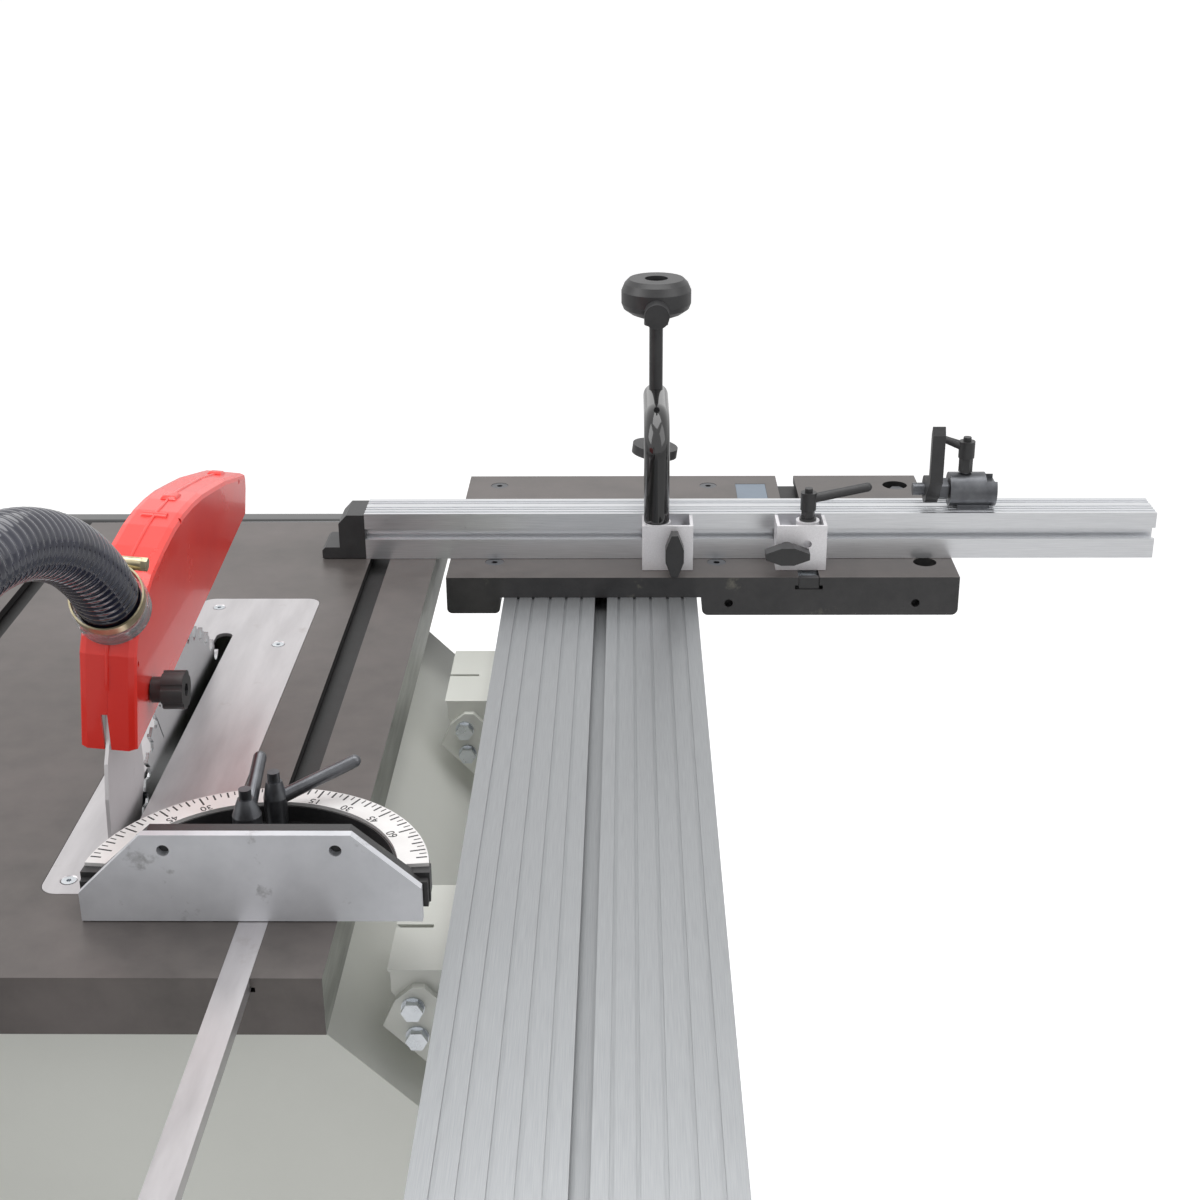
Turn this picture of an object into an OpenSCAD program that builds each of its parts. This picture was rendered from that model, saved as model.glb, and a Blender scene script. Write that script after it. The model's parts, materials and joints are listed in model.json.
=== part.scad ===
// Panel saw with a sliding beam, a cast crosscut table and a mitre gauge.
// X runs across the saw towards the sliding beam, Y towards the operator and Z up.
// Inside the modules the zero point is on the table top, in the blade's plane, over the arbor.

/* [Main table] */
// Height of the table top above the floor
table_h = 850; // [830:5:870]
// Length of the main table along the cut
table_l = 800; // [800:2:820]
// Depth of the table's rim
table_rim = 41; // [38:1:42]
// Thickness of the table's ground top
table_t = 12; // [11:0.5:13]
// Width of the mitre slots
slot_w = 19; // [19:0.1:19.4]

/* [Blade] */
// Diameter of the saw blade
blade_d = 315; // [300:5:315]
// Number of teeth on the blade
teeth = 48; // [36:4:60]
// Depth of the arbor below the table top
arbor_z = -94; // [-96:1:-92]

/* [Sliding beam] */
// Width of the sliding beam
beam_w = 181; // [180:0.5:182]
// Length of the sliding beam
beam_l = 1600; // [1580:10:1640]
// Depth of the beam below the main table
beam_top = -20; // [-20:0.1:-20]

/* [Fence] */
// Length of the crosscut fence
fence_l = 752; // [720:1:760]
// Height of the crosscut fence
fence_h = 45.8; // [45:0.1:46]

/* [Dust hose] */
// Outer diameter of the dust hose over its ribs
hose_d = 43; // [42:0.5:43]
// Number of ribs on the dust hose
hose_ribs = 120; // [60:4:180]

/* [Hidden] */
$fn = 48;

cream = "#dcdcd2";
iron = "#5d5453";
dark = "#242426";
steel = "#b4b6b8";
zinc = "#c9cbc6";
alu = "#c4c6c9";
red = "#b3202a";
blue_grey = "#7f8fa0";

// Edges of the main table
table_x = [-385, 166];
table_y = [-356, table_l - 356];
// Mitre slots, either side of the blade
slot_right = 112.5;
slot_left = -204;
slot_deep = 10;
// Insert round the blade
insert_x = [-36, 71];
insert_y = [-261, 242];
insert_t = 6;
insert_screws = [[-20, -244], [-18, 222], [50, 140], [50, -160]];
kerf = 3.2;
blade_r = blade_d / 2;
// Cabinet walls
sheet = 2.5;
cab_x = [-330, 245];
cab_y = [-290, 370];
cab_top = -table_rim;
cab_base = 50 - table_h;
shoulder_x = 105;
hinge_x = cab_x[0] - 4.5;
door_y = [-215, 145];
door_z = [-700, -440];
// Sliding beam
beam_x = 324.5;
beam_y0 = 580 - beam_l;
beam_h = 66;
rail_y = [-460, 300];
cage_y = [-230, 70];
ball_r = 5;
ball_x = 66;
ball_z = beam_top - 46;
bracket_y = 205.5;
bracket_l = 107;
// Crosscut table
cross_x = [180, 660];
cross_y = [292, 588];
cross_slot = 519.7;
// Fence and what it carries
fence_x = 99;
fence_y = [341, 384];
post = [377.5, 326];
wing_1_x = 394;
stop_axis = [362, 63];
// Mitre gauge
pivot = [112.5, -283];
gauge_r = 112;
lever_1 = [98, -225];
lever_2 = [112.5, -201];
// Tilting and lifting gear
rod_x_pos = -90;
rod_y_pos = 120;
rod_r = 11;
motor_z = arbor_z - 190;
arc_r = 120;
height_axis = [-110, -230];
tilt_axis = [60, -290];
// Guard
knob_at = [-150, 95];
port_dir = 45;
guard_lean = 5.6;
port_at = [-160, 152];
// Dust outlet and its branch
duct_x = -160;
duct_z = -400;
// The hose's route from the guard to the branch, inner ends straight
hose_route = [[9.4, -174.8, 166.4], [11.7, -198.2, 189.6], [13, -222, 211], [12, -257, 237],
    [10, -297, 258], [7, -340, 273], [4, -385, 280], [0, -430, 277], [-7, -473, 264], [-17, -513, 240],
    [-29, -546, 204], [-42, -570, 158], [-56, -582, 104], [-71, -585, 46], [-87, -582, -14],
    [-103, -575, -72], [-118, -562, -128], [-134, -545, -180], [-151, -524, -228],
    [-160, -500, -270], [-160, -470, -300], [-160, -440, -330]];

// Centre of the whole machine, which is the origin on the floor
mid_x = (cab_x[0] - 79 + fence_x + fence_l) / 2;
mid_y = (beam_y0 - 4 + cross_y[1]) / 2;

// Moves a sub-part from the table's zero point to the part's origin.
module placed() translate([-mid_x, -mid_y, table_h]) children();

// A block between two corners.
module block(lo, hi) translate(lo) cube(hi - lo);

// A rectangle with round corners, from one corner to the other.
module soft_rect(lo, hi, r) {
    translate(lo + [r, 0]) square(hi - lo - [2 * r, 0]);
    translate(lo + [0, r]) square(hi - lo - [0, 2 * r]);
    for (x = [lo[0] + r, hi[0] - r], y = [lo[1] + r, hi[1] - r])
        translate([x, y]) circle(r);
}

// Round bars along each axis, between two stations.
module bar_x(r, x0, x1, y = 0, z = 0) translate([x0, y, z]) rotate([0, 90, 0]) cylinder(r = r, h = x1 - x0);
module bar_y(r, y0, y1, x = 0, z = 0) translate([x, y1, z]) rotate([90, 0, 0]) cylinder(r = r, h = y1 - y0);
module bar_z(r, z0, z1, x = 0, y = 0) translate([x, y, z0]) cylinder(r = r, h = z1 - z0);

// A profile drawn in X and Z, drawn out along Y.
module along_y(y0, y1) translate([0, y1, 0]) rotate([90, 0, 0]) linear_extrude(y1 - y0) children();

// A profile drawn in Y and Z, drawn out along X.
module along_x(x0, x1) translate([x0, 0, 0]) rotate([90, 0, 90]) linear_extrude(x1 - x0) children();

// A hexagon head, its washer face at the base.
module hex_head(across, h) cylinder(d = across / cos(30), h = h, $fn = 6);

// ---- Cabinet ----

// Outline across the cabinet: its shoulder slopes out under the beam, parallel to the tilted blade.
module cabinet_outline(t) polygon([[cab_x[0] + t, cab_base + t], [cab_x[0] + t, cab_top - t / 2],
    [shoulder_x - t * 0.4, cab_top - t / 2], [cab_x[1] - t, cab_top - (cab_x[1] - shoulder_x) - t * 0.4],
    [cab_x[1] - t, cab_base + t]]);

// The arc that the height screw follows as the blade tilts.
module tilt_arc(r, half, t) {
    start = atan2(height_axis[1], height_axis[0]);
    rotate([90, 0, 0]) translate([0, 0, -t / 2]) rotate([0, 0, start - 8]) rotate_extrude(angle = 61)
        translate([r - half, 0]) square([2 * half, t]);
}

module cabinet() color(cream) placed() difference() {
    union() {
        difference() {
            along_y(cab_y[0], cab_y[1]) cabinet_outline(0);
            along_y(cab_y[0] + sheet, cab_y[1] - sheet) cabinet_outline(sheet);
            block([cab_x[0] + 28, cab_y[0] + 4, cab_top - 9], [shoulder_x - 20, cab_y[1] - 28, cab_top + 9]);
        }
        // hinge knuckles on the door's side
        for (z = [door_z[0] + 40, door_z[1] - 60])
            bar_z(5, z, z + 20, hinge_x, door_y[0] - 8);
    }
    for (z = [door_z[0] + 40, door_z[1] - 60])
        bar_z(3, z - 1, z + 21, hinge_x, door_y[0] - 8);
    // doorway, height screw's arc, tilt screw, duct, gland and motor vents
    block([cab_x[0] - 1, door_y[0] + 15, door_z[0] + 15], [cab_x[0] + 5, door_y[1] - 15, door_z[1] - 15]);
    translate([0, cab_y[1] - 1, 0]) tilt_arc(norm(height_axis), 15, 12);
    bar_x(14, cab_x[0] - 1, cab_x[0] + 5, tilt_axis[0], tilt_axis[1]);
    bar_y(47, cab_y[0] - 1, cab_y[0] + 5, duct_x, duct_z);
    for (i = [0:7])
        block([-60, cab_y[0] - 1, -640 + 14 * i], [60, cab_y[0] + 5, -635 + 14 * i]);
}

// Four levelling feet: pad, stem and lock nut.
module feet() color(dark) placed()
    for (x = [cab_x[0] + 40, cab_x[1] - 40], y = [cab_y[0] + 40, cab_y[1] - 40])
        translate([x, y, -table_h]) {
            cylinder(r = 24, h = 8);
            translate([0, 0, 8]) cylinder(r1 = 20, r2 = 10, h = 8);
            cylinder(r = 6, h = 50);
            translate([0, 0, 38]) hex_head(19, 8);
        }

module door_pins() color(zinc) placed()
    for (z = [door_z[0] + 38, door_z[1] - 62])
        bar_z(2.95, z, z + 46, hinge_x, door_y[0] - 8);

// Overlay door with folded edges, a pull lip and its half of the hinges.
module cabinet_door() color(cream) placed() {
    x = cab_x[0] - 3;
    difference() {
        block([x - 14, door_y[0], door_z[0]], [x, door_y[1], door_z[1]]);
        block([x - 12, door_y[0] + 2, door_z[0] + 2], [x + 1, door_y[1] - 2, door_z[1] - 2]);
        for (z = [-630, -600, -570, -540, -510])
            block([x - 15, -80, z], [x - 10, 40, z + 6]);
    }
    difference() {
        bar_x(16, x - 18, x - 14, 115, -570);
        block([x - 17, 100, -574], [x - 20, 130, -566]);
    }
    for (z = [door_z[0] + 61, door_z[1] - 39])
        difference() {
            union() {
                bar_z(4.2, z, z + 20, hinge_x, door_y[0] - 8);
                block([x - 5.5, door_y[0] - 8, z], [x - 3, door_y[0] + 1, z + 20]);
            }
            bar_z(3, z - 1, z + 21, hinge_x, door_y[0] - 8);
        }
}

// ---- Main table ----

// A T-slot cut down from z = 0, with its wider foot.
module t_slot(x, w, deep, foot, foot_h, y0, y1) {
    block([x - w / 2, y0, -deep], [x + w / 2, y1, 1]);
    block([x - foot / 2, y0, -deep], [x + foot / 2, y1, -deep + foot_h]);
}

// A slot with round ends along Y.
module long_slot(x, w, y0, y1) {
    translate([x - w / 2, y0 + w / 2]) square([w, y1 - y0 - w]);
    for (y = [y0 + w / 2, y1 - w / 2])
        translate([x, y]) circle(w / 2);
}

module insert_outline(grow) soft_rect([insert_x[0] - grow, insert_y[0] - grow],
    [insert_x[1] + grow, insert_y[1] + grow], 12 + grow);

module main_table() color(iron) placed() difference() {
    union() {
        difference() {
            block([table_x[0], table_y[0], -table_rim], [table_x[1], table_y[1], 0]);
            block([table_x[0] + 10, table_y[0] + 10, -table_rim - 1],
                [table_x[1] - 10, table_y[1] - 10, -table_t]);
        }
        // ribs and the slots' thickened walls
        for (x = [-300, -130])
            block([x - 4, table_y[0] + 5, -36], [x + 4, table_y[1] - 5, -table_t]);
        for (y = [-300, 340])
            block([table_x[0] + 5, y - 4, -36], [table_x[1] - 5, y + 4, -table_t]);
        for (y = [-150, 0, 150])
            block([table_x[0] + 5, y - 4, -36], [-130, y + 4, -table_t]);
        for (x = [slot_right, slot_left])
            block([x - 22, table_y[0] + 5, -20], [x + 22, table_y[1] - 5, -table_t]);
        // seats that rest on the cabinet's flange
        for (x = [cab_x[0] + 14, shoulder_x - 10], y = [-230, 320])
            bar_z(9.5, cab_top, -table_t, x, y);
    }
    for (x = [slot_right, slot_left])
        t_slot(x, slot_w, slot_deep, 24.6, 3.4, table_y[0] - 1, table_y[1] + 1);
    translate([0, 0, -insert_t]) linear_extrude(9) insert_outline(0.4);
    difference() {
        translate([0, 0, -30]) linear_extrude(40)
            soft_rect([-24, insert_y[0] + 8], [58, insert_y[1] - 8], 8);
        for (s = insert_screws)
            bar_z(14, -table_t, -insert_t, s[0], s[1]);
    }
    for (s = insert_screws)
        bar_z(2.5, -table_t - 1, 1, s[0], s[1]);
}

module table_insert() color(steel) placed() difference() {
    translate([0, 0, -insert_t]) linear_extrude(insert_t) insert_outline(0);
    // blade slot, relieved underneath for the tilted blade
    translate([0, 0, -insert_t - 1]) linear_extrude(insert_t + 2)
        long_slot(0, 14, -217, 164);
    translate([0, 0, -insert_t - 1]) linear_extrude(insert_t - 2)
        soft_rect([-14, -222], [24, 170], 6);
    for (s = insert_screws) {
        bar_z(3, -insert_t - 1, 1, s[0], s[1]);
        translate([s[0], s[1], -3]) cylinder(r1 = 3, r2 = 6.1, h = 3.1);
    }
}

// A countersunk screw with a hexagon socket, its head's top at z = 0.
module flat_screw(r, l) difference() {
    union() {
        translate([0, 0, -r]) cylinder(r1 = r, r2 = 2 * r, h = r);
        translate([0, 0, -l]) cylinder(r = r, h = l - r + 0.1);
    }
    translate([0, 0, -r]) cylinder(r = r * 0.75, h = r + 1, $fn = 6);
}

// The insert's screws and the bracket bolts with their washers.
module machine_screws() color(zinc) placed() {
    for (s = insert_screws)
        translate([s[0], s[1], -0.1]) flat_screw(2.5, 11);
    for (y = [-bracket_y, bracket_y], p = [[207, -85], [209, -108]])
        translate([p[0], y - bracket_l / 2 - 6, p[1]]) rotate([90, 0, 0]) {
            cylinder(r = 8, h = 1.6);
            translate([0, 0, 1.6]) hex_head(13, 6);
            translate([0, 0, -10]) cylinder(r = 4, h = 10);
        }
}

// Rounded rail along the operator's edge, standing off the table on feet.
module rip_rail() color(dark) placed() {
    along_x(-385, 165) difference() {
        soft_rect([449, -34], [479, -1], 8);
        soft_rect([453, -30], [475, -5], 5);
    }
    for (x = [-330, -110, 110]) {
        block([x - 15, table_y[1], -32], [x + 15, 450, -8]);
        bar_y(5, 452.5, 458, x, -18);
    }
}

// ---- Dust outlet, switch ----

// A point at a distance up the branch's slanting axis.
function branch(d) = [duct_x, -370 - d * sin(45), duct_z + d * cos(45)];

module slant_tube(r, d0, d1) translate(branch(d0)) rotate([45, 0, 0]) cylinder(r = r, h = d1 - d0);

module dust_outlet() color(dark) placed() difference() {
    union() {
        bar_y(52, -460, cab_y[0] - 4, duct_x, duct_z);
        bar_y(50, -485, -459, duct_x, duct_z);
        bar_y(66, cab_y[0] - 4, cab_y[0], duct_x, duct_z);
        slant_tube(spigot_r, 30, 130);
    }
    bar_y(47, -486, cab_y[0] + 1, duct_x, duct_z);
    slant_tube(spigot_r - 2.5, 30, 131);
    for (a = [45:90:315])
        bar_y(3, cab_y[0] - 5, cab_y[0] + 1, duct_x + 58 * cos(a), duct_z + 58 * sin(a));
}

switch_at = [-268, -130];

// Switch box with its collars, and the mains gland under it.
module switch_box() color(dark) placed() {
    difference() {
        along_y(cab_y[1], cab_y[1] + 42)
            soft_rect([switch_at[0] - 36, switch_at[1] - 64], [switch_at[0] + 36, switch_at[1] + 64], 8);
        along_y(cab_y[1] + 3, cab_y[1] + 39)
            soft_rect([switch_at[0] - 33, switch_at[1] - 61], [switch_at[0] + 33, switch_at[1] + 61], 5);
        for (z = [-28, 28])
            bar_y(15.2, cab_y[1] + 30, cab_y[1] + 50, switch_at[0], switch_at[1] + z);
    }
    for (z = [-28, 28])
        difference() {
            bar_y(19, cab_y[1] + 42, cab_y[1] + 46, switch_at[0], switch_at[1] + z);
            bar_y(15.2, cab_y[1] + 30, cab_y[1] + 50, switch_at[0], switch_at[1] + z);
        }
    difference() {
        translate([switch_at[0], cab_y[1] + 20, switch_at[1] - 80]) {
            hex_head(24, 16);
            translate([0, 0, -6]) cylinder(r = 9, h = 8);
        }
        bar_z(6, switch_at[1] - 90, switch_at[1] - 60, switch_at[0], cab_y[1] + 20);
    }
}

module button(z, hub) bar_y(15, cab_y[1] + 34, cab_y[1] + hub, switch_at[0], switch_at[1] + z);

module start_button() color("#2f7d46") placed() button(28, 47);

module stop_button() color(red) placed() {
    button(-28, 52);
    bar_y(20, cab_y[1] + 52, cab_y[1] + 58, switch_at[0], switch_at[1] - 28);
}

// ---- Sliding beam and its rail ----

// One folded bracket: a step under the beam, two gussets cut to the bay's slope.
module bracket() {
    difference() {
        along_y(0, bracket_l)
            polygon([[190, -60], [232, -60], [232, -128], [412, -128], [412, -133], [227, -133],
                [227, -65], [195, -65]]);
        block([189, bracket_l / 2 - 2, -70], [216, bracket_l / 2 + 2, -50]);
        for (x = [270, 380], y = [28, bracket_l - 28])
            bar_z(4.5, -140, -120, x, y);
    }
    for (y = [0, bracket_l - 5])
        difference() {
            along_y(y, y + 5)
                polygon([[192, -62], [229, -62], [229, -130], [412, -130], [412, -150], [270, -240],
                    [cab_x[1] + 0.3, -240], [cab_x[1] + 0.3, -181], [220, -155], [215, -105], [192, -77]]);
            bar_y(20, y - 1, y + 6, 294, -172);
            for (p = [[207, -85], [209, -108]])
                bar_y(4.2, y - 1, y + 6, p[0], p[1]);
        }
}

// The pair of brackets and their diamond adjusting plates.
module beam_brackets() color(cream) placed()
    for (y = [-bracket_y, bracket_y]) {
        translate([0, y - bracket_l / 2, 0]) bracket();
        translate([0, y - bracket_l / 2 - 6, 0]) difference() {
            along_y(0, 5.8)
                polygon([[186, -100], [195, -80], [207, -70], [215, -70], [229, -84], [229, -116], [215, -130]]);
            for (p = [[207, -85], [209, -108]])
                bar_y(4.2, -1, 7, p[0], p[1]);
        }
    }

// Rail bolted to the brackets, with a groove for the balls on each side.
module fixed_rail() color(alu) placed() difference() {
    along_y(rail_y[0], rail_y[1]) difference() {
        translate([beam_x, 0]) union() {
            translate([-70, -128]) square([140, 10]);
            translate([-ball_x + 4, -120]) square([2 * ball_x - 8, 70]);
        }
        for (x = [-34, 0, 34])
            translate([beam_x + x - 13, -114]) square([26, 58]);
        for (s = [-1, 1])
            translate([beam_x + s * ball_x, ball_z]) circle(ball_r + 0.3);
    }
    for (x = [270, 380], y = [-bracket_y, bracket_y], d = [-25.5, 25.5])
        bar_z(4.5, -130, -110, x, y + d);
}

// Balls in a strip each side, which roll at half the beam's speed.
module ball_cages() color(steel) placed()
    for (s = [-1, 1])
        translate([beam_x + s * ball_x, 0, ball_z]) {
            block([-1, cage_y[0], -9], [1, cage_y[1], 9]);
            for (i = [0:11])
                translate([0, cage_y[0] + 12 + 25 * i, 0]) sphere(ball_r);
        }

// Grooves and slot in the beam's top, measured from its middle.
top_grooves = [17.5, 32, 47, 63, 77];

module beam_profile() difference() {
    translate([-beam_w / 2, -beam_h]) square([beam_w, beam_h]);
    // channel over the fixed rail, either side of the slot's boss
    difference() {
        translate([-ball_x + 3, -beam_h - 1]) square([2 * ball_x - 6, beam_h - 6]);
        translate([-15, -24]) square([32, 30]);
    }
    translate([-ball_x - 3, -beam_h - 1]) square([2 * ball_x + 6, beam_h - 32]);
    // hollow chambers beside it
    for (s = [-1, 1])
        translate([s * 81 - 5, -beam_h + 5]) square([10, beam_h - 12]);
    // T-slot for clamping bolts
    translate([-5, -6]) square([11.5, 7]);
    translate([-9.5, -14]) square([20.5, 8.5]);
    for (s = [-1, 1], g = top_grooves)
        translate([s * g - 1.25, -1.5]) square([2.5, 2]);
    for (s = [-1, 1])
        translate([s * ball_x, ball_z - beam_top]) circle(ball_r + 0.3);
}

module beam() color(alu) placed()
    translate([beam_x, 0, beam_top]) along_y(beam_y0, beam_y0 + beam_l) beam_profile();

// Moulded caps on the beam's ends, open over the rail, and the plug of the crosscut slot.
module beam_end_caps() color(dark) placed() {
    for (y = [beam_y0 - 4, beam_y0 + beam_l])
        translate([beam_x, 0, beam_top]) along_y(y, y + 4) difference() {
            soft_rect([-beam_w / 2, -beam_h], [beam_w / 2, -0.5], 3);
            translate([-ball_x - 5, -beam_h - 1]) square([2 * ball_x + 10, beam_h - 7]);
        }
    block([cross_slot - 9.3, cross_y[0] + 1, -11.6], [cross_slot + 9.3, cross_y[0] + 8, -1]);
}

// ---- Crosscut table ----

cross_screws = [[213, 557], [436, 556], [223, 333], [435, 332]];

module crosscut_table() color(iron) placed() difference() {
    along_y(cross_y[0], cross_y[1]) difference() {
        union() {
            translate([cross_x[0], -20]) square([cross_x[1] - cross_x[0], 20]);
            soft_rect([cross_x[0], -36], [230, -6], 5);
            soft_rect([420, -38], [cross_x[1], -6], 6);
        }
    }
    // hollow underside of the overhanging part
    for (x = [[432, 500], [540, 648]])
        block([x[0], cross_y[0] + 12, -39], [x[1], cross_y[1] - 12, -15]);
    t_slot(cross_slot, 19.5, 12, 26, 4, cross_y[0] - 1, cross_y[1] + 1);
    for (s = cross_screws) {
        bar_z(4.5, -40, 1, s[0], s[1]);
        translate([s[0], s[1], -5]) cylinder(r1 = 4.5, r2 = 9.2, h = 5.1);
    }
    bar_z(13, -9, 1, 635, 556);
    bar_z(6, -40, 1, 637, 554);
    bar_z(11, -40, 1, 633, 331);
    block([465, 509, -2], [497, 561, 1]);
    for (x = [445, 620])
        bar_y(4, cross_y[0] - 1, cross_y[0] + 11, x, -26);
}

module crosscut_screws() color(zinc) placed() {
    for (s = cross_screws)
        translate([s[0], s[1], -0.3]) flat_screw(4.4, 34);
    translate([637, 554, -8.9]) {
        hex_head(13, 6);
        translate([0, 0, -20]) cylinder(r = 5.9, h = 20);
    }
}

module scale_inlay() color(blue_grey) placed() block([465.2, 509.2, -2], [496.8, 560.8, -0.2]);

// ---- Tilting and lifting gear ----

// A sector of a ring in the X and Z plane, centred on the tilt axis.
module ring_part(r0, r1, a0, a1, y0, y1) translate([0, y1, 0]) rotate([90, 0, 0])
    rotate([0, 0, a0]) rotate_extrude(angle = a1 - a0) translate([r0, 0]) square([r1 - r0, y1 - y0]);

// Each trunnion hangs from the table and carries an arc rib on its inner face.
trunnion_y = [-284, 266];

// Part of a ring's outline in X and Z, open towards the table.
module ring_outline(r0, r1) difference() {
    circle(r1);
    circle(r0);
    polygon([[0, 0], [-200, -180], [-200, 200], [200, 200], [200, -180]]);
}

module trunnion(y0, rib) {
    along_y(y0, y0 + 12) {
        ring_outline(arc_r - 14, arc_r + 14);
        polygon([[-125, -table_t], [-125, -24], [-111, -24], [-111, -85], [-85, -85], [-85, -24], [59, -24],
            [59, -90], [83, -90], [83, -24], [86, -24], [86, -table_t]]);
    }
    along_y(min(rib, rib + 6) - 0.5, max(rib, rib + 6) + 0.5) ring_outline(arc_r - 4, arc_r + 4);
}

module trunnions() color(iron) placed() {
    trunnion(trunnion_y[0], trunnion_y[0] + 12);
    trunnion(trunnion_y[1], trunnion_y[1] - 6);
}

// Cradle that swings on the trunnions' ribs and carries two guide rods.
module tilt_carriage() color("#4a4d50") placed() difference() {
    union() {
        for (y = [[trunnion_y[0] + 12.4, -1], [trunnion_y[1] - 12.4, 1]])
            difference() {
                ring_part(arc_r - 20, arc_r + 24, -140, -78, y[0], y[0] + 12);
                ring_part(arc_r - 4.3, arc_r + 4.3, -175, -20, y[0] + 3 * y[1] + 2, y[0] + 3 * y[1] + 10);
            }
        for (s = [-1, 1]) {
            // top arm, strut and foot, on each side of the motor
            block([rod_x_pos - 15, s > 0 ? 105 : -264, -102], [rod_x_pos + 15, s > 0 ? 257 : -105, -88]);
            block([rod_x_pos - 15, s > 0 ? 144 : -158, -372], [rod_x_pos + 15, s > 0 ? 158 : -144, -90]);
            bar_z(rod_r, -360, -90, rod_x_pos, s * rod_y_pos);
        }
        block([rod_x_pos - 15, -158, -372], [rod_x_pos + 15, 158, -358]);
        // boss for the height screw
        block([height_axis[0] - 20, 144, -250], [height_axis[0] + 20, 158, -210]);
    }
    bar_y(10.06, 140, 170, height_axis[0], height_axis[1]);
}

// Ribbed handwheel on a shaft along +Y, its hub's back face at y = 0.
module handwheel(shaft_back) {
    rotate([-90, 0, 0]) {
        translate([0, 0, 22]) rotate_extrude() translate([72, 0]) circle(9);
        for (a = [90, 210, 330])
            rotate([0, 0, a]) translate([0, -7, 6]) rotate([0, -12, 0]) translate([14, 0, 0]) cube([58, 14, 8]);
        difference() {
            cylinder(r = 20, h = 26);
            translate([0, 0, 20]) cylinder(r = 13, h = 7);
        }
        translate([0, 0, -shaft_back]) cylinder(r = 10, h = shaft_back + 1);
        translate([0, 72, 22]) cylinder(r = 4, h = 22);
        translate([0, 72, 32]) cylinder(r1 = 9, r2 = 12, h = 44);
    }
}

module tilt_wheel() color(dark) placed()
    translate([cab_x[0] - 3, tilt_axis[0], tilt_axis[1]]) rotate([0, 0, 90]) handwheel(22);

module height_wheel() color(dark) placed()
    translate([height_axis[0], cab_y[1] + 3, height_axis[1]]) handwheel(cab_y[1] + 3 - 141);

// Casting that slides on the rods and carries the arbor, the knife and the motor.
module lift_carriage() color("#5a5f63") placed() difference() {
    union() {
        block([-118, -136, -345], [-108, 136, -62]);
        for (s = [-1, 1], z = [-310, -200])
            bar_z(20, z, z + 60, rod_x_pos, s * rod_y_pos);
        bar_x(34, -72, -12, 0, arbor_z);
        for (s = [-1, 1])
            block([-110, s * 55 - 5, arbor_z - 34], [-60, s * 55 + 5, arbor_z + 32]);
        block([-72, -60, arbor_z - 34], [-60, 60, arbor_z + 32]);
        // arm to the riving knife
        block([-72, -206, arbor_z - 34], [-60, -50, arbor_z - 6]);
        block([-72, -206, arbor_z - 34], [-1.4, -174, arbor_z - 6]);
    }
    bar_x(26.05, -73, -54, 0, arbor_z);
    bar_x(26.05, -30, -11, 0, arbor_z);
    bar_x(15, -73, -11, 0, arbor_z);
    bar_x(30, -119, -107, 0, motor_z);
    for (s = [-1, 1])
        bar_z(rod_r + 0.06, -350, -100, rod_x_pos, s * rod_y_pos);
    bar_x(5, -20, 0, -190, arbor_z - 20);
}

module arbor_bearings() color(steel) placed()
    for (x = [-72, -28])
        difference() {
            bar_x(26, x, x + 15, 0, arbor_z);
            bar_x(12.56, x - 1, x + 16, 0, arbor_z);
        }

// Arbor shaft with its shoulder and, keyed on the end, the ribbed pulley.
module arbor() color(steel) placed() {
    difference() {
        union() {
            bar_x(12.5, -108 + 1, -9, 0, arbor_z);
            bar_x(15 - 0.04, -9, 10, 0, arbor_z);
            bar_x(10, 10, 24, 0, arbor_z);
        }
        bar_x(3, 14, 25, 0, arbor_z);
    }
    difference() {
        bar_x(28, -104, -78, 0, arbor_z);
        bar_x(12.5, -110, -70, 0, arbor_z);
        for (i = [0:4])
            translate([-99.5 + 4 * i, 0, arbor_z]) rotate([0, 90, 0]) rotate_extrude()
                polygon([[29, -0.2], [29, 3.2], [25.6, 1.5]]);
    }
}

module blade_flanges() color("#8c8f92") placed() {
    difference() {
        union() {
            bar_x(37, -9, -1.2, 0, arbor_z);
            bar_x(37, 1.2, 8, 0, arbor_z);
        }
        bar_x(15, -10, 12, 0, arbor_z);
    }
    difference() {
        translate([10.2, 0, arbor_z]) rotate([0, 90, 0]) hex_head(30, 11);
        bar_x(10, 5, 30, 0, arbor_z);
    }
}

// Toothed disc: each tooth has its gullet, back and carbide tip.
module saw_blade() color(steel) placed() translate([0, 0, arbor_z]) {
    rotate([90, 0, 90]) translate([0, 0, -1.1]) linear_extrude(2.2) difference() {
        circle(blade_r - 2, $fn = 144);
        circle(15);
        for (i = [0:teeth - 1])
            rotate([0, 0, i * 360 / teeth]) translate([blade_r, 0])
                polygon([[1, 0.5], [-9, 0], [-12, 3.5], [-11, 7], [-7, 9.5], [1, 13]]);
        for (a = [30:90:300])
            rotate([0, 0, a]) translate([blade_r - 34, -0.8]) square([30, 1.6]);
    }
    for (i = [0:teeth - 1])
        rotate([i * 360 / teeth, 0, 0])
            translate([-kerf / 2, blade_r - 9, -2.4]) cube([kerf, 9, 2.6]);
}

// Motor with cooling fins, terminal box, end shield and fan cowl.
module motor() color("#6c7478") placed() {
    difference() {
        union() {
            bar_x(62, -282, -130, 0, motor_z);
            bar_x(70, -130, -118, 0, motor_z);
            for (a = [0:12:348])
                translate([0, 0, motor_z]) rotate([a, 0, 0]) block([-250, -1.5, 60], [-134, 1.5, 72]);
        }
        bar_x(12.1, -140, -100, 0, motor_z);
    }
    bar_x(72, -300, -256, 0, motor_z);
    block([-232, 62, motor_z - 34], [-150, 100, motor_z + 34]);
}

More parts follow.
